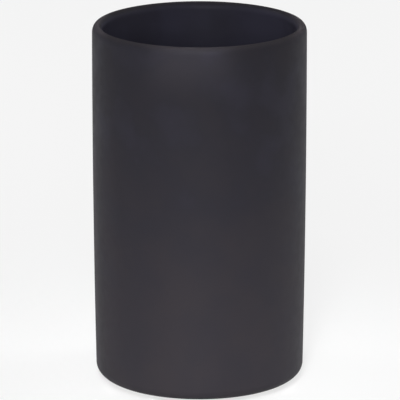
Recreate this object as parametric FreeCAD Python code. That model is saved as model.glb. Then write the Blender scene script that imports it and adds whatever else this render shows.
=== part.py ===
# Bathroom tumbler: a one-piece stoneware cup, nearly straight, with a rounded lip and a rounded heel.
# It stands on stick-on pads that sit in the shallow recess under its floor, inside the foot ring.
# Millimetres. The origin is where the cup's axis meets the surface that it stands on, and +Z is up.
import FreeCAD, Part
import math
import os

Vector = FreeCAD.Vector

# The cup's outside
STANDING_HEIGHT = 120.0  # from the surface under the pads to the top of the lip
MOUTH_DIAMETER = 70.4  # outside of the wall, carried on up to the top of the lip
HEEL_DIAMETER = 69.0  # outside of the wall, carried on down to the foot ring: the draft of the mould
WALL_BOW = 0.34  # how far the wall bows out between heel and mouth
HEEL_RADIUS = 3.6  # outer edge of the base

# The cup's wall, lip and floor
WALL_THICKNESS = 3.4  # square to the wall
LIP_HEIGHT = 2.6  # how far below the top of the lip its rounding starts
FLOOR_THICKNESS = 4.2  # above the recess
COVE_RADIUS = 7.0  # inside corner between wall and floor

# The foot ring, which the glaze leaves bare, and the recess inside it
FOOT_RING_WIDTH = 3.0
RECESS_DEPTH = 1.0
RECESS_SLOPE = 1.0  # how far the side of the recess leans inward
RECESS_EDGE_RADIUS = 0.4  # upper and lower edge of that side

# The stick-on pads and the discs of adhesive that hold them
PAD_COUNT = 4
PAD_FIRST_ANGLE = 45.0  # degrees from +X
PAD_DIAMETER = 9.0  # at the adhesive
PAD_THICKNESS = 2.0
PAD_DRAFT = 0.2  # how much smaller the pad's radius is at the bottom
PAD_EDGE_RADIUS = 0.5
PAD_TO_RECESS_GAP = 0.8  # between the pads and the side of the recess
ADHESIVE_THICKNESS = 0.2
ADHESIVE_INSET = 0.25  # how far the adhesive stays inside the edge of its pad

UP = Vector(0, 0, 1)
DOWN = Vector(0, 0, -1)
FULL_TURN = 360.0


def point(radius, height):
    """A point of a profile, in the half plane that is turned about the axis."""
    return Vector(radius, 0, height)


def line(start, end):
    return Part.LineSegment(start, end).toShape()


def arc(centre, radius, first, last):
    """The arc about a centre from one unit direction to another, less than half a turn away."""
    middle = (first + last).normalize()
    return Part.Arc(centre + first * radius, centre + middle * radius, centre + last * radius).toShape()


def half_ellipse(centre, across, up):
    """The half of an ellipse from centre - across over centre + up to centre + across."""
    if up.Length > across.Length:
        ellipse = Part.Ellipse(centre + up, centre + across, centre)
        return Part.ArcOfEllipse(ellipse, -math.pi / 2, math.pi / 2).toShape()
    ellipse = Part.Ellipse(centre + across, centre + up, centre)
    return Part.ArcOfEllipse(ellipse, 0, math.pi).toShape()


# Levels under the cup
ring_z = ADHESIVE_THICKNESS + PAD_THICKNESS - RECESS_DEPTH
recess_z = ring_z + RECESS_DEPTH
floor_z = recess_z + FLOOR_THICKNESS

# The wall's outer and inner face are arcs about one far centre, on the other side of the axis
outer_foot = point(HEEL_DIAMETER / 2, ring_z)
outer_head = point(MOUTH_DIAMETER / 2, STANDING_HEIGHT)
chord = outer_head - outer_foot
chord_outward = point(chord.z, -chord.x).normalize()
outer_bow_radius = chord.Length**2 / (8 * WALL_BOW) + WALL_BOW / 2
inner_bow_radius = outer_bow_radius - WALL_THICKNESS
bow_centre = (outer_foot + outer_head) / 2 + chord_outward * (WALL_BOW - outer_bow_radius)


def on_bow(radius, height):
    """The point at this height of a circle about the wall's far centre."""
    return point(bow_centre.x + math.sqrt(radius**2 - (height - bow_centre.z) ** 2), height)


def corner_centre(bow_radius, radius, level):
    """The centre of a rounded corner that touches one face of the wall and a level below."""
    return on_bow(bow_radius - radius, level + radius)


def wall_outward(centre):
    """The direction square to the wall, towards the outside, beside this point."""
    return (centre - bow_centre).normalize()


heel_centre = corner_centre(outer_bow_radius, HEEL_RADIUS, ring_z)
cove_centre = corner_centre(inner_bow_radius, COVE_RADIUS, floor_z)
lip_centre = on_bow((outer_bow_radius + inner_bow_radius) / 2, STANDING_HEIGHT - LIP_HEIGHT)

# The foot ring, the recess and the circle that the pads stand on
ring_inner_radius = heel_centre.x - FOOT_RING_WIDTH
recess_radius = ring_inner_radius - RECESS_SLOPE
pad_circle_radius = recess_radius - PAD_TO_RECESS_GAP - PAD_DIAMETER / 2


def cup_profile():
    """The cup's closed half section, from the middle of the floor over the lip and round under the heel."""
    heel_outward = wall_outward(heel_centre)
    cove_outward = wall_outward(cove_centre)
    lip_outward = wall_outward(lip_centre)

    # the lip is a half ellipse that carries on both faces of the wall, and its highest point is the cup's
    half_wall = lip_outward * (WALL_THICKNESS / 2)
    lip_along = point(-lip_outward.z, lip_outward.x)
    lip_up = lip_along * (math.sqrt(LIP_HEIGHT**2 - half_wall.z**2) / lip_along.z)

    floor_middle = point(0, floor_z)
    recess_middle = point(0, recess_z)
    ring_outer = point(heel_centre.x, ring_z)
    ring_inner = point(ring_inner_radius, ring_z)
    recess_edge = point(recess_radius, recess_z)
    return Part.Wire(
        [
            line(floor_middle, cove_centre + DOWN * COVE_RADIUS),
            arc(cove_centre, COVE_RADIUS, DOWN, cove_outward),
            arc(bow_centre, inner_bow_radius, cove_outward, lip_outward),
            half_ellipse(lip_centre, half_wall, lip_up),
            arc(bow_centre, outer_bow_radius, lip_outward, heel_outward),
            arc(heel_centre, HEEL_RADIUS, heel_outward, DOWN),
            line(ring_outer, ring_inner),
            line(ring_inner, recess_edge),
            line(recess_edge, recess_middle),
            line(recess_middle, floor_middle),
        ]
    )


def tumbler_body():
    """The cup: wall, lip, floor and foot ring are one casting, turned from one profile."""
    cup = Part.Face(cup_profile()).revolve(Vector(), UP, FULL_TURN)

    def is_recess_edge(edge):
        if not isinstance(edge.Curve, Part.Circle) or edge.Curve.Axis.cross(UP).Length > 0:
            return False
        return any(math.isclose(edge.Curve.Radius, radius) for radius in (ring_inner_radius, recess_radius))

    return cup.makeFillet(RECESS_EDGE_RADIUS, [edge for edge in cup.Edges if is_recess_edge(edge)])


def foot_pad():
    """One pad on the axis, standing on the surface: drafted, with a rounded lower edge."""
    top_radius = PAD_DIAMETER / 2
    pad = Part.makeCone(top_radius - PAD_DRAFT, top_radius, PAD_THICKNESS)
    lower_edge = min(pad.Edges, key=lambda edge: edge.BoundBox.ZMax)
    return pad.makeFillet(PAD_EDGE_RADIUS, [lower_edge])


def adhesive_disc():
    """One disc of double-sided tape on the axis, between a pad and the recess."""
    radius = PAD_DIAMETER / 2 - ADHESIVE_INSET
    return Part.makeCylinder(radius, ADHESIVE_THICKNESS, point(0, PAD_THICKNESS))


def under_base(shape, index):
    """A copy of a shape from the axis, moved out to its place on the circle of pads."""
    angle = PAD_FIRST_ANGLE + FULL_TURN * index / PAD_COUNT
    return shape.translated(point(pad_circle_radius, 0)).rotated(Vector(), UP, angle)


def main():
    nodes = {"tumbler_body": tumbler_body()}
    for index in range(PAD_COUNT):
        nodes[f"foot_pad_{index + 1}"] = under_base(foot_pad(), index)
        nodes[f"adhesive_disc_{index + 1}"] = under_base(adhesive_disc(), index)

    os.makedirs("parts", exist_ok=True)
    for name, shape in nodes.items():
        shape.exportStep(os.path.join("parts", name + ".step"))
        print(f"{name}: {shape.Volume:.1f} mm3")


main()
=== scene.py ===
# %% [markdown]
# # A matt black bathroom tumbler
#
# A tumbler is about the plainest pot there is, so everything depends on its outline, its lip and its
# glaze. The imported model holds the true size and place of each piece, in metres, with the tumbler
# standing on z = 0. We load it first and keep its box, so that we can show at the end that nothing has
# grown out of it.

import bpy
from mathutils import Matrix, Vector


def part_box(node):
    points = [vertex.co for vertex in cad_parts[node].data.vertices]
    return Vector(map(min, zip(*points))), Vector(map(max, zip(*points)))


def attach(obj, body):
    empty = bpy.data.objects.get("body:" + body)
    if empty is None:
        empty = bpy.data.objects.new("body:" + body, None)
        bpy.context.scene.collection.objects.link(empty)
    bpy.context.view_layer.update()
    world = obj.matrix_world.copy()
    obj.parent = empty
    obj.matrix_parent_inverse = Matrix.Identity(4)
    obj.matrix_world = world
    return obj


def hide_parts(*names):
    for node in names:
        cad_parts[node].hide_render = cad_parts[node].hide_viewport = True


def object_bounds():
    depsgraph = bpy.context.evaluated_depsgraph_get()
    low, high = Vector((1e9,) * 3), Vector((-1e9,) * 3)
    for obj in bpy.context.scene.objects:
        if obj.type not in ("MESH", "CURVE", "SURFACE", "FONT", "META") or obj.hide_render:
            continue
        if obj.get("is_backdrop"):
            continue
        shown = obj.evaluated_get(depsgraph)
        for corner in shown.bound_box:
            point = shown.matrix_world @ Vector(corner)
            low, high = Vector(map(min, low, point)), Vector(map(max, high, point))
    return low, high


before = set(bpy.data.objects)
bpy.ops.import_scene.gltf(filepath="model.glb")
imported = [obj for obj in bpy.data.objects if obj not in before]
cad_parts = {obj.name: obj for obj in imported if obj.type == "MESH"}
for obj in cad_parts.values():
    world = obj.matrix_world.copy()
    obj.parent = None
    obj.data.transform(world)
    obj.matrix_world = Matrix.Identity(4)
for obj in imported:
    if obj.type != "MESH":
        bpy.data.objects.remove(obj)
cad_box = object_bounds()

MM = 0.001
cup_low, cup_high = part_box("tumbler_body")
print("pieces:", ", ".join(sorted(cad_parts)))
print(f"the cup stands from z = {cup_low.z / MM:.2f} to {cup_high.z / MM:.2f} mm, on its pads")

# %% [markdown]
# ## The wall: two arcs about one far centre
#
# A cast cup is round, so half of its section describes all of it: floor, wall, lip, wall, heel and foot.
# A cylinder with loop cuts and bevels would also do, but then the lip and heel depend on bevel settings.
# Drawing the section from real radii is shorter, and each curve runs on into the next without a crease.
# The wall leans out a little, as a mould needs, and it bows out by a third of a millimetre, which keeps
# the sides of a tall cup from looking hollow. So each face of the wall is an arc about a centre metres
# away.

# %% Place the wall
from mathutils import Vector

MOUTH_RADIUS = 35.2 * MM
FOOT_RADIUS = 34.5 * MM
WALL_BOW = 0.34 * MM
WALL_THICKNESS = 3.4 * MM

foot_level = cup_low.z
top_level = cup_high.z
wall_foot = Vector((FOOT_RADIUS, foot_level))
wall_head = Vector((MOUTH_RADIUS, top_level))
chord = wall_head - wall_foot
chord_outward = Vector((chord.y, -chord.x)).normalized()
outer_bow = chord.length_squared / (8 * WALL_BOW) + WALL_BOW / 2
inner_bow = outer_bow - WALL_THICKNESS
bow_centre = (wall_foot + wall_head) / 2 + chord_outward * (WALL_BOW - outer_bow)
print(f"the outer face is an arc with a radius of {outer_bow:.2f} m")

# %% [markdown]
# ## Corners that touch the wall
#
# The cove inside and the heel outside are quarter rounds that touch the wall, so their centres lie on an
# arc about the same far centre. The lip's centre lies half way through the wall. Points are (radius,
# height) pairs, and slerp turns a direction evenly from the start of a round to its end.

# %% Find the corners
from math import sqrt

LIP_HEIGHT = 2.6 * MM
HEEL_ROUND = 3.6 * MM
COVE_ROUND = 7.0 * MM
FLOOR_LEVEL = 6.4 * MM

DOWN = Vector((0, -1))


def on_bow(radius, level):
    """The point at this level of a circle about the wall's far centre."""
    return Vector((bow_centre.x + sqrt(radius**2 - (level - bow_centre.y) ** 2), level))


def wall_outward(point):
    """The direction square to the wall beside a point, towards the outside."""
    return (point - bow_centre).normalized()


def arc(centre, radius, first, last, steps):
    """Points round a centre from one direction to another.

    The first is left out, because the stretch before ends on it.
    """
    return [centre + first.slerp(last, step / steps) * radius for step in range(1, steps + 1)]


def straight(start, end, steps):
    """Points on a straight stretch, also without the first."""
    return [start.lerp(end, step / steps) for step in range(1, steps + 1)]


cove = on_bow(inner_bow - COVE_ROUND, FLOOR_LEVEL + COVE_ROUND)
heel = on_bow(outer_bow - HEEL_ROUND, foot_level + HEEL_ROUND)
lip = on_bow((outer_bow + inner_bow) / 2, top_level - LIP_HEIGHT)
print(f"lip crest at a radius of {lip.x / MM:.2f} mm, heel round about {heel.x / MM:.2f} mm")

# %% [markdown]
# ## Inside, lip and outside
#
# The lip of a cast cup is cut and then sponged round while the clay is soft, and it is left a little
# taller than wide. Half an ellipse across the wall has that shape, and it leaves both faces of the wall
# without a break. The steps are short where the section turns and long on the wall, so faces are small
# where light changes fast.

# %% Draw the inside, the lip and the outside
from math import cos, pi, sin


def lip_points(steps):
    """Half an ellipse over the wall, from the inner face to the outer one."""
    across = wall_outward(lip) * WALL_THICKNESS / 2
    along = Vector((-across.y, across.x)).normalized() * LIP_HEIGHT
    turns = [pi * (1 - step / steps) for step in range(1, steps + 1)]
    return [lip + across * cos(turn) + along * sin(turn) for turn in turns]


section = [Vector((0, FLOOR_LEVEL))]
section += straight(section[-1], cove + DOWN * COVE_ROUND, steps=14)
section += arc(cove, COVE_ROUND, DOWN, wall_outward(cove), steps=16)
section += arc(bow_centre, inner_bow, wall_outward(cove), wall_outward(lip), steps=60)
section += lip_points(steps=24)
section += arc(bow_centre, outer_bow, wall_outward(lip), wall_outward(heel), steps=64)
section += arc(heel, HEEL_ROUND, wall_outward(heel), DOWN, steps=16)
print(f"{len(section)} points from the middle of the floor to the foot ring")

# %% [markdown]
# ## Under the heel: where the glaze stops
#
# Glaze would fuse the cup to the kiln shelf, so the foot ring is wiped bare before firing.
# The glaze then ends on both sides of the ring in a soft bead, about a fifth of a millimetre thick.
# A bump texture has no edge that catches light, so the bead is a real step in the section.
# Inside the ring lies a shallow recess, whose two edges are eased as a mould eases them.

# %% Draw the foot ring and the recess
from math import tan

RING_WIDTH = 3.0 * MM
RECESS_LEVEL = 2.2 * MM
RECESS_SLOPE = 1.0 * MM
RECESS_EASE = 0.4 * MM
GLAZE_THICKNESS = 0.2 * MM
GLAZE_LAP = 0.5 * MM  # how far the glaze runs on to the flat of the ring


def eased(before, corner, after, radius, steps):
    """A corner between two straight stretches, rounded off."""
    back = (before - corner).normalized()
    ahead = (after - corner).normalized()
    half_angle = back.angle(ahead) / 2
    centre = corner + (back + ahead).normalized() * radius / sin(half_angle)
    start = corner + back * radius / tan(half_angle)
    end = corner + ahead * radius / tan(half_angle)
    return [start] + arc(centre, radius, (start - centre).normalized(), (end - centre).normalized(), steps)


clay_level = foot_level + GLAZE_THICKNESS
clay_outer = heel.x - GLAZE_LAP - GLAZE_THICKNESS
clay_inner = heel.x - RING_WIDTH + RECESS_EASE + GLAZE_THICKNESS
outer_bead = Vector((clay_outer + GLAZE_THICKNESS, clay_level))
inner_bead = Vector((clay_inner - GLAZE_THICKNESS, clay_level))
ring_edge = Vector((heel.x - RING_WIDTH, foot_level))
recess_edge = Vector((ring_edge.x - RECESS_SLOPE, RECESS_LEVEL))
recess_middle = Vector((0, RECESS_LEVEL))
INWARD = Vector((-1, 0))

section += straight(section[-1], outer_bead + DOWN * GLAZE_THICKNESS, steps=3)
section += arc(outer_bead, GLAZE_THICKNESS, DOWN, INWARD, steps=5)
section += straight(section[-1], Vector((clay_inner, clay_level)), steps=6)
section += arc(inner_bead, GLAZE_THICKNESS, -INWARD, DOWN, steps=5)
section += eased(inner_bead, ring_edge, recess_edge, RECESS_EASE, steps=5)[1:]
section += eased(ring_edge, recess_edge, recess_middle, RECESS_EASE, steps=5)
section += straight(section[-1], recess_middle, steps=14)
bare_width = clay_outer - clay_inner
print(f"the half section has {len(section)} points, and {bare_width / MM:.2f} mm of the ring is bare")

# %% [markdown]
# ## Turning the section
#
# Now the section is turned about the upright axis, as a jigger or a lathe would do it. Blender's Screw
# modifier does this too, but bmesh's spin gives a plain mesh at once, whose points can be moved later.
# Both ends of the section lie on the axis, and welding them closes the cup into one skin without a seam.

# %% Turn the cup
import bmesh
import bpy

TURN_STEPS = 256
WELD = 0.001 * MM

skin = bmesh.new()
line = [skin.verts.new((point.x, 0, point.y)) for point in section]
for first, second in zip(line, line[1:]):
    skin.edges.new((first, second))
bmesh.ops.spin(
    skin,
    geom=skin.verts[:] + skin.edges[:],
    axis=(0, 0, 1),
    cent=(0, 0, 0),
    angle=2 * pi,
    steps=TURN_STEPS,
    use_merge=True,
)
bmesh.ops.remove_doubles(skin, verts=skin.verts, dist=WELD)
bmesh.ops.recalc_face_normals(skin, faces=skin.faces)
open_edges = sum(not edge.is_manifold for edge in skin.edges)
cup_mesh = bpy.data.meshes.new("glazed_cup")
skin.to_mesh(cup_mesh)
skin.free()
cup_mesh.shade_smooth()
print("points, faces and open edges:", len(cup_mesh.vertices), len(cup_mesh.polygons), open_edges)

# %% [markdown]
# ## What the kiln does to it
#
# Clay shrinks by a tenth as it dries and fires, and never quite evenly, so no cast cup is perfectly
# round. Here the wall wanders by a few hundredths of a millimetre, which is too little to see as a shape,
# but it lets a long reflection waver a little. Both faces move together, because the wall keeps its
# thickness. The move is only ever inward, so that the cup stays inside its CAD box.

# %% Let the wall wander
from mathutils import noise

WANDER_LEAST = 0.02 * MM
WANDER_MOST = 0.05 * MM
WANDER_LUMPS = 1.6  # lumps on a stretch as long as the cup's radius

for point in cup_mesh.vertices:
    outward = Vector((point.co.x, point.co.y, 0)).normalized()
    spot = outward + Vector((0, 0, point.co.z / MOUTH_RADIUS))
    share = (noise.noise(spot * WANDER_LUMPS) + 1) / 2
    point.co -= outward * (WANDER_LEAST + (WANDER_MOST - WANDER_LEAST) * share)
widest = max(Vector((point.co.x, point.co.y)).length for point in cup_mesh.vertices)
print(f"after firing the cup is {widest / MM:.3f} mm from axis to outside at its widest")

# %% [markdown]
# ## The cup takes the place of the CAD body
#
# The CAD cup stays in the physics model, and this finer cup stands for it in the picture. It was drawn in
# the same frame, so nothing has to be moved: it only has to be told which body carries it.

# %% Put the cup in place
cup = bpy.data.objects.new("glazed_cup", cup_mesh)
bpy.context.scene.collection.objects.link(cup)
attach(cup, "root")
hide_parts("tumbler_body")
print("the cup rides on the root body, and the CAD cup is hidden")

# %% [markdown]
# ## How the finishes are written
#
# Each finish is a small tree of nodes around one Principled shader, and these helpers keep it nearly as
# short as a sentence. The first few only add nodes: an output of another node is linked, and a plain
# number or colour is set on the socket.

# %% Helpers for nodes
def new_finish(name):
    """A material, the tree of its nodes, and its shader."""
    finish = bpy.data.materials.new(name)
    finish.use_nodes = True
    return finish, finish.node_tree, finish.node_tree.nodes["Principled BSDF"]


def add(tree, kind, inputs, **settings):
    """A node with its settings made and its inputs set or linked."""
    node = tree.nodes.new("ShaderNode" + kind)
    for name, value in settings.items():
        setattr(node, name, value)
    for name, value in inputs.items():
        if isinstance(value, bpy.types.NodeSocket):
            tree.links.new(value, node.inputs[name])
        else:
            node.inputs[name].default_value = value
    return node


def fade(tree, value, start, end, at_start, at_end):
    """Goes smoothly from one number to another while a value goes from start to end."""
    inputs = {"Value": value, "From Min": start, "From Max": end, "To Min": at_start, "To Max": at_end}
    return add(tree, "MapRange", inputs, interpolation_type="SMOOTHSTEP").outputs["Result"]


def total(tree, *values):
    """The sum of several outputs."""
    result = values[0]
    for value in values[1:]:
        result = add(tree, "Math", {0: result, 1: value}, operation="ADD").outputs["Value"]
    return result


def tones(tree, value, stops):
    """Colours along a ramp: pairs of a position and a colour."""
    ramp = add(tree, "ValToRGB", {"Fac": value})
    elements = ramp.color_ramp.elements
    while len(elements) < len(stops):
        elements.new(0.5)
    for element, (position, colour) in zip(elements, stops):
        element.position = position
        element.color = (*colour, 1)
    return ramp.outputs["Color"]


print("helpers for nodes ready")

# %% [markdown]
# ## Patterns and relief
#
# Every unevenness here is made of two patterns: soft lumps, and scattered dots. Both read object
# coordinates. Those are metres here, so the scale of a pattern is one over the size of its parts.
# Heights for bump are written in millimetres, so a pit of 0.03 really is that deep.

# %% Helpers for patterns
NOISE_LOW = 0.3  # most of Blender's noise lies between these two
NOISE_HIGH = 0.7


def place(tree):
    """Where a point lies on its object, in metres."""
    return add(tree, "TexCoord", {}).outputs["Object"]


def lumps(tree, size, detail):
    """Soft noise whose lumps are about this large, from 0 to 1."""
    cloudy = add(tree, "TexNoise", {"Vector": place(tree), "Scale": 1 / size, "Detail": detail})
    return cloudy.outputs["Fac"]


def mottled(tree, size, detail, low, high):
    """The same noise, going up and down between two numbers."""
    return fade(tree, lumps(tree, size, detail), NOISE_LOW, NOISE_HIGH, low, high)


def dots(tree, spacing, size):
    """Scattered round dots, 1 in the middle of a dot and 0 outside it."""
    cells = add(tree, "TexVoronoi", {"Vector": place(tree), "Scale": 1 / spacing})
    return fade(tree, cells.outputs["Distance"], size / spacing, 0, 0, 1)


def raised(tree, pattern, height):
    """A pattern as heights in millimetres, or as depths if the height is below 0."""
    return fade(tree, pattern, 0, 1, 0, height)


def relief(tree, shader, height):
    """Bump on a shader, from heights in millimetres."""
    bump = add(tree, "Bump", {"Height": height, "Strength": 1.0, "Distance": MM})
    tree.links.new(bump.outputs["Normal"], shader.inputs["Normal"])


print("helpers for patterns ready")

# %% [markdown]
# ## The matt black glaze: how thick it lies, and the light painted into it
#
# A matt glaze shows its thickness. Where it is thin, as over the lip, it breaks paler and browner, and it
# is dry; the paler lip is partly a painted highlight. The cup is dipped mouth down and the coat runs
# towards the lip, so outside it is thinnest near the foot, browner there, and painted paler, as painted
# light on the low wall. Inside, where the glaze is poured in and swilled round, it lies thicker, and it is
# bluer and less matt, and painted paler as painted fill light for the shaded inside. So one map of
# thickness, with this painted light in it, comes first, from 0 for thin to 1 for thick, and then colour
# and gloss both follow it.

# %% Thickness of the glaze
USUAL_DEPTH = 0.4
CLOUD_DEPTH = 0.1  # the coat is thicker and thinner by this much, in soft clouds
CLOUD_SIZE = 16 * MM
POURED_MORE = 0.35
DIPPED_LESS = -0.25
# Below this level the outer coat is also painted paler: painted light on the low wall.
THIN_BELOW = 20 * MM  # outside, the dipped coat is thinnest below this level
USUAL_ABOVE = 90 * MM  # and has its usual thickness above this one
BROKEN_LESS = -0.3
LIP_BREAK = 1.6 * MM  # how far below the crest the glaze starts to thin

glaze, tree, glaze_shader = new_finish("dark_glaze")
where = add(tree, "SeparateXYZ", {"Vector": place(tree)}).outputs
from_axis = add(tree, "CombineXYZ", {"X": where["X"], "Y": where["Y"]}).outputs["Vector"]
radius = add(tree, "VectorMath", {0: from_axis}, operation="LENGTH").outputs["Value"]
inner_face = lip.x - WALL_THICKNESS / 2

thinner = USUAL_DEPTH - CLOUD_DEPTH
thicker = USUAL_DEPTH + CLOUD_DEPTH
clouds = mottled(tree, CLOUD_SIZE, detail=4.0, low=thinner, high=thicker)
# Inside, the thicker coat is also painted paler: painted fill light for the shaded inside.
poured_and_painted_fill = fade(tree, where["Z"], RECESS_LEVEL, FLOOR_LEVEL, 0, POURED_MORE)  # nothing is poured underneath
inside = fade(tree, radius, lip.x, inner_face, 0, poured_and_painted_fill)
# Near the foot the thinner coat is painted paler: painted light on the low wall, and browner.
dipped_and_painted_paler = fade(tree, where["Z"], THIN_BELOW, USUAL_ABOVE, DIPPED_LESS, 0)
outside = fade(tree, radius, inner_face, lip.x, 0, dipped_and_painted_paler)
# Over the lip the thinner coat is painted paler: partly glaze break, partly a painted highlight on the
# lip.
broken_and_painted_highlight = fade(tree, where["Z"], top_level - LIP_BREAK, top_level, 0, BROKEN_LESS)
depth_with_painted_light = total(tree, clouds, inside, outside, broken_and_painted_highlight)
print("the map of thickness has", len(tree.nodes), "nodes so far")

# %% [markdown]
# ## The matt black glaze: colour and gloss
#
# The black comes from iron, cobalt and manganese. A thick coat shows the blue of the cobalt and a thin
# one the brown of the iron. Both are set paler than the usual coat, and that is partly painted light:
# painted fill inside the cup, a painted highlight on the lip, and painted light near the foot.
# Fine crystals in the surface scatter most of the gloss, so the roughness is high and the mirror part
# weak. A clear coat on top would look wet, so there is none.

# %% Colour and gloss of the glaze
# The thin colour is paler than the usual one: partly glaze break, partly painted highlight on the lip and
# painted light near the foot.
THIN_GLAZE_PAINTED_HIGHLIGHT = (0.0320, 0.0283, 0.0326)
USUAL_GLAZE = (0.0248, 0.0234, 0.0300)
# The thick colour is painted paler than the usual one: painted fill light for the shaded inside.
THICK_GLAZE_PAINTED_FILL = (0.0420, 0.0405, 0.0610)
THICK_DEPTH = 0.85
THIN_ROUGHNESS = 0.58
THICK_ROUGHNESS = 0.44
LIP_ROUGHNESS = 0.2  # this much more on the crest
WEAK_MIRROR = 0.07

# This ramp carries the painted light: fill inside, a highlight on the lip, and a paler foot.
glaze_tones = [(0.0, THIN_GLAZE_PAINTED_HIGHLIGHT), (USUAL_DEPTH, USUAL_GLAZE), (THICK_DEPTH, THICK_GLAZE_PAINTED_FILL)]
tree.links.new(tones(tree, depth_with_painted_light, glaze_tones), glaze_shader.inputs["Base Color"])
dryness = fade(tree, depth_with_painted_light, 0, 1, THIN_ROUGHNESS, THICK_ROUGHNESS)
patches = mottled(tree, size=3 * MM, detail=2.0, low=-0.03, high=0.03)
dry_lip = fade(tree, where["Z"], top_level - LIP_BREAK, top_level, 0, LIP_ROUGHNESS)
tree.links.new(total(tree, dryness, patches, dry_lip), glaze_shader.inputs["Roughness"])
glaze_shader.inputs["Specular IOR Level"].default_value = WEAK_MIRROR
print("roughness from", THICK_ROUGHNESS, "for a thick coat to", THIN_ROUGHNESS, "for a thin one")

# %% [markdown]
# ## The matt black glaze: its skin
#
# Close up, a fired glaze is not flat. It has a soft peel from the way it ran, a fine grain of crystals,
# and a few pinholes where gas came out in the kiln. None is deeper than a hair is thick, so bump is
# enough for them.

# %% Skin of the glaze
peel = raised(tree, lumps(tree, size=2.6 * MM, detail=1.0), height=0.012)
crystals = raised(tree, lumps(tree, size=0.28 * MM, detail=3.0), height=0.006)
pinholes = raised(tree, dots(tree, spacing=7 * MM, size=0.16 * MM), height=-0.03)
relief(tree, glaze_shader, total(tree, peel, crystals, pinholes))
print("the glaze has", len(tree.nodes), "nodes")

# %% [markdown]
# ## Bare clay on the foot ring
#
# Under the glaze is a grey stoneware with fine sand in it, and the wiped ring shows that clay. It gets a
# material of its own, on the faces between the two beads, which lie a glaze thickness above the foot.

# %% Bare clay
DARK_CLAY = (0.27, 0.25, 0.22)
PALE_CLAY = (0.38, 0.35, 0.31)
SAND_TONE = (0.16, 0.14, 0.12, 1)

clay, tree, shader = new_finish("bare_clay")
body_lumps = lumps(tree, size=1.2 * MM, detail=6.0)
body_tone = tones(tree, body_lumps, [(NOISE_LOW, DARK_CLAY), (NOISE_HIGH, PALE_CLAY)])
sand = dots(tree, spacing=0.7 * MM, size=0.22 * MM)
sandy = add(tree, "MixRGB", {"Fac": sand, "Color1": body_tone, "Color2": SAND_TONE})
tree.links.new(sandy.outputs["Color"], shader.inputs["Base Color"])
roughness = mottled(tree, size=0.5 * MM, detail=3.0, low=0.8, high=0.95)
tree.links.new(roughness, shader.inputs["Roughness"])
shader.inputs["Specular IOR Level"].default_value = 0.3
pores = raised(tree, lumps(tree, size=0.3 * MM, detail=4.0), height=0.03)
grains = raised(tree, sand, height=0.03)
relief(tree, shader, total(tree, pores, grains))
print("the clay has", len(tree.nodes), "nodes")

# %% [markdown]
# ## Which faces are bare
#
# The mesh knows nothing of glaze, so the bare faces are found by their level: all their corners lie on
# the wiped flat of the ring.

# %% Put glaze and clay on the cup
cup_mesh.materials.append(glaze)
cup_mesh.materials.append(clay)
bare_faces = 0
for face in cup_mesh.polygons:
    flat = all(abs(cup_mesh.vertices[corner].co.z - clay_level) < WELD for corner in face.vertices)
    if flat:
        face.material_index = 1
        bare_faces += 1
print(f"{bare_faces} of {len(cup_mesh.polygons)} faces are bare clay")

# %% [markdown]
# ## The pads under the floor
#
# Four silicone pads keep the cup from sliding and from scratching a shelf. Their CAD shape is right, so
# they stay and only get a finish. Silicone has no gloss worth the name. What shows is a fine moulded
# grain, a cloudy grey, and specks of lint, because it holds on to dust.

# %% Silicone
DARK_SILICONE = (0.050, 0.050, 0.052)
PALE_SILICONE = (0.070, 0.070, 0.073)
LINT_TONE = (0.25, 0.24, 0.23, 1)

silicone, tree, shader = new_finish("moulded_silicone")
silicone_lumps = lumps(tree, size=2.2 * MM, detail=4.0)
grey = tones(tree, silicone_lumps, [(NOISE_LOW, DARK_SILICONE), (NOISE_HIGH, PALE_SILICONE)])
lint = dots(tree, spacing=1.6 * MM, size=0.12 * MM)
dusty = add(tree, "MixRGB", {"Fac": lint, "Color1": grey, "Color2": LINT_TONE})
tree.links.new(dusty.outputs["Color"], shader.inputs["Base Color"])
roughness = mottled(tree, size=0.8 * MM, detail=2.0, low=0.55, high=0.72)
tree.links.new(roughness, shader.inputs["Roughness"])
shader.inputs["Specular IOR Level"].default_value = 0.35
relief(tree, shader, raised(tree, lumps(tree, size=0.18 * MM, detail=2.0), height=0.012))
print("the silicone has", len(tree.nodes), "nodes")

# %% [markdown]
# ## The tape that holds them
#
# Between pad and cup lies a disc of clear acrylic tape on a pale foam, only its rim to be seen.
# Foam is a crowd of tiny bubbles: paler walls, and hollows painted darker as painted shade.

# %% Tape
FOAM_WALL = (0.66, 0.64, 0.59)
# The hollow tone is painted shade inside the bubbles.
FOAM_HOLLOW_PAINTED_SHADE = (0.52, 0.50, 0.45)

tape, tree, shader = new_finish("foam_tape")
bubbles = dots(tree, spacing=0.16 * MM, size=0.09 * MM)
foam = tones(tree, bubbles, [(0.0, FOAM_WALL), (1.0, FOAM_HOLLOW_PAINTED_SHADE)])
tree.links.new(foam, shader.inputs["Base Color"])
roughness = mottled(tree, size=0.6 * MM, detail=2.0, low=0.5, high=0.75)
tree.links.new(roughness, shader.inputs["Roughness"])
relief(tree, shader, raised(tree, bubbles, height=-0.02))

for name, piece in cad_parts.items():
    if name != "tumbler_body":
        piece.data.materials.clear()
        piece.data.materials.append(silicone if name.startswith("foot_pad") else tape)
print("finishes:", ", ".join(finish.name for finish in (glaze, clay, silicone, tape)))

# %% [markdown]
# ## A pale floor
#
# The cup stands on a wide sheet of white paper. Paper is matt, so it gets no gloss at all. A catalogue
# picture lets such a sheet fade to white. More light would do that, but it would grey the cup too. So the
# shading of the paper is mixed with plain white for the rays that look at it. Light Path tells them from
# the rays that carry light. What is left of the shading keeps the shadow under the cup.

# %% Floor
FLOOR_RADIUS = 4.0
PAPER_TONE = (0.82, 0.82, 0.82, 1)
WHITE_SHARE = 0.7

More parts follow.
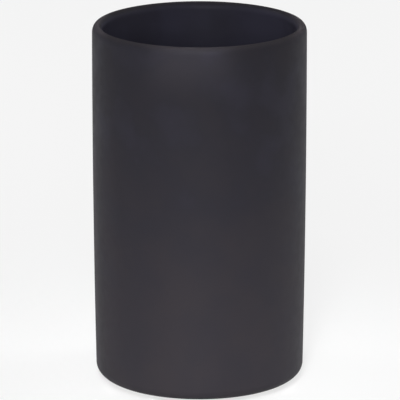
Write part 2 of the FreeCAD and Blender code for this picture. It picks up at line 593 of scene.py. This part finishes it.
sheet = bmesh.new()
bmesh.ops.create_circle(sheet, cap_ends=True, segments=96, radius=FLOOR_RADIUS)
paper_mesh = bpy.data.meshes.new("paper_floor")
sheet.to_mesh(paper_mesh)
sheet.free()
paper_floor = bpy.data.objects.new("paper_floor", paper_mesh)
bpy.context.scene.collection.objects.link(paper_floor)
paper_floor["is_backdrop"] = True

paper, tree, shader = new_finish("white_paper")
shader.inputs["Base Color"].default_value = PAPER_TONE
shader.inputs["Roughness"].default_value = 1.0
shader.inputs["Specular IOR Level"].default_value = 0.0
ray = add(tree, "LightPath", {}).outputs
looking = total(tree, ray["Is Camera Ray"], ray["Is Glossy Ray"], ray["Is Transmission Ray"])
white = add(tree, "Emission", {"Strength": 1.0}).outputs["Emission"]
whitened = {"Fac": fade(tree, looking, 0, 1, 0, WHITE_SHARE), 1: shader.outputs["BSDF"], 2: white}
paper_white = add(tree, "MixShader", whitened).outputs["Shader"]
tree.links.new(paper_white, tree.nodes["Material Output"].inputs["Surface"])
paper_mesh.materials.append(paper)
print(f"a round sheet of paper, {2 * FLOOR_RADIUS:.0f} m across")

# %% [markdown]
# ## How a lamp is set up
#
# In a studio, a lamp is a bright flat square on a stand, turned towards its aim. Blender's area lamp is
# the same. A grid, a honeycomb in front of it, stops its light from spreading sideways, and that is the
# area lamp's spread.

# %% Helpers for lamps
DEGREE = pi / 180


def around(azimuth, elevation, distance, aim):
    """The place at this distance from an aim. Azimuth 0 is in front, and grows towards the right."""
    level = distance * cos(elevation)
    return aim + Vector((level * sin(azimuth), -level * cos(azimuth), distance * sin(elevation)))


def look_at(thing, aim):
    """Turn a lamp or a camera towards an aim."""
    thing.rotation_mode = "QUATERNION"
    thing.rotation_quaternion = (aim - thing.location).to_track_quat("-Z", "Y")


def set_lamp(name, stand_place, aim, width, height, watts, grid=180 * DEGREE):
    """A flat lamp that the camera doesn't see. A grid narrows the angle that its light leaves in."""
    lamp = bpy.data.lights.new(name, "AREA")
    lamp.shape = "RECTANGLE"
    lamp.size = width
    lamp.size_y = height
    lamp.energy = watts
    lamp.spread = grid
    stand = bpy.data.objects.new(name, lamp)
    stand.location = stand_place
    look_at(stand, aim)
    stand.visible_camera = False
    bpy.context.scene.collection.objects.link(stand)


print("helpers for lamps ready")

# %% [markdown]
# ## The soft light
#
# A matt black cup sends back very little light, so each lamp has one task. A softbox in front, a little
# to the left, lays the broad pale band on the wall and reaches the inside. Two softboxes high up, to the
# right and left and a little behind, fill the sides of the inside over the lip. A wide one hangs over the
# paper behind the cup, with a grid, so the back of the lip gets little of it and stays dark. The room
# itself is a dim, even white, which keeps the shadows open.

# %% Softboxes and room
ROOM_LIGHT = 0.25

middle = Vector((0, 0, (foot_level + top_level) / 2))
front_stand = around(azimuth=-8 * DEGREE, elevation=18 * DEGREE, distance=1.2, aim=middle)
right_stand = around(azimuth=115 * DEGREE, elevation=40 * DEGREE, distance=1.2, aim=middle)
left_stand = around(azimuth=-115 * DEGREE, elevation=40 * DEGREE, distance=1.2, aim=middle)
set_lamp("front_softbox", front_stand, middle, width=0.5, height=0.3, watts=5.0)
set_lamp("right_softbox", right_stand, middle, width=0.4, height=0.35, watts=3.0)
set_lamp("left_softbox", left_stand, middle, width=0.4, height=0.35, watts=2.2)

behind = Vector((0, 0.5, 0))
overhead_stand = behind + Vector((0, 0, 0.7))
set_lamp("overhead_softbox", overhead_stand, behind, width=2.0, height=1.0, watts=2.0, grid=70 * DEGREE)

room = bpy.data.worlds.new("studio_room")
room.use_nodes = True
room.node_tree.nodes["Background"].inputs["Color"].default_value = (1, 1, 1, 1)
room.node_tree.nodes["Background"].inputs["Strength"].default_value = ROOM_LIGHT
bpy.context.scene.world = room
bpy.context.scene.view_settings.view_transform = "Standard"
print("four softboxes and a room at", ROOM_LIGHT)

# %% [markdown]
# ## Small lamps with tight grids
#
# In the photograph the wall grows lighter towards its heel, and its edges do so most of all. Three small
# lamps with tight grids do that, one in front of the foot and one behind each side. Two thin strips hang
# right over the ends of the lip, which are pale too. The last lamp is a snoot, a tube that lets out only
# a thumb's width of light. It lays the pale patch on the lip and the wall below it. Painting these into
# the glaze would be wrong: they are light, and other light moves them.

# %% Lamps for the foot, the edges and the lip
EDGE_GRID = 8 * DEGREE
LIP_GRID = 1 * DEGREE

before_foot = Vector((0, -0.06, 0))
foot_stand = around(azimuth=-6 * DEGREE, elevation=45 * DEGREE, distance=1.0, aim=before_foot)
set_lamp("foot_lamp", foot_stand, before_foot, width=0.12, height=0.12, watts=0.076, grid=14 * DEGREE)

low_wall = Vector((0, 0, 10 * MM))
right_low = around(azimuth=105 * DEGREE, elevation=12 * DEGREE, distance=1.0, aim=low_wall)
left_low = around(azimuth=-115 * DEGREE, elevation=12 * DEGREE, distance=1.0, aim=low_wall)
set_lamp("right_edge_lamp", right_low, low_wall, width=0.12, height=0.12, watts=0.018, grid=EDGE_GRID)
set_lamp("left_edge_lamp", left_low, low_wall, width=0.12, height=0.12, watts=0.010, grid=EDGE_GRID)

for side, name in ((-1, "left_lip_strip"), (1, "right_lip_strip")):
    lip_end = Vector((side * lip.x, 0, top_level))
    over_lip = around(azimuth=90 * side * DEGREE, elevation=87 * DEGREE, distance=0.5, aim=lip_end)
    set_lamp(name, over_lip, lip_end, width=0.04, height=0.004, watts=0.0006, grid=LIP_GRID)

under_lip = Vector((-3 * MM, -MOUTH_RADIUS, top_level - LIP_HEIGHT))
snoot_stand = around(azimuth=-2 * DEGREE, elevation=45 * DEGREE, distance=0.9, aim=under_lip)
set_lamp("lip_snoot", snoot_stand, under_lip, width=0.025, height=0.01, watts=0.00068, grid=LIP_GRID)

# %% [markdown]
# ## The camera
#
# The mouth of the cup is an ellipse in the photograph, and its height over its width gives how far the
# camera looks down. The sides come together only a little, so the camera stands well back, with a long
# lens.

# %% Camera
CAMERA_ELEVATION = 15.62 * DEGREE
CAMERA_DISTANCE = 1.288
LENS = 350.1  # in millimetres, on Blender's usual 36 mm sensor
OFF_MIDDLE = Vector((0.165, 0, -0.44)) * MM  # how far from the cup's middle the camera aims

photographer = bpy.data.objects.new("camera", bpy.data.cameras.new("camera"))
photographer.data.lens = LENS
photographer.location = around(azimuth=0, elevation=CAMERA_ELEVATION, distance=CAMERA_DISTANCE, aim=middle)
look_at(photographer, middle + OFF_MIDDLE)
bpy.context.scene.collection.objects.link(photographer)
bpy.context.scene.camera = photographer
print(f"camera {photographer.location.length:.2f} m from the foot of the cup")

# %% [markdown]
# ## Is it still the right size?
#
# A visual model that has grown out of its CAD box would clash with its neighbours wherever the part is
# used. So the room left between the two boxes, below and above, is printed at the end.

visual_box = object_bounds()
room_below = [(visual - cad) / MM for visual, cad in zip(visual_box[0], cad_box[0])]
room_above = [(cad - visual) / MM for visual, cad in zip(visual_box[1], cad_box[1])]
print("room left below, mm:", [round(gap, 4) for gap in room_below])
print("room left above, mm:", [round(gap, 4) for gap in room_above])
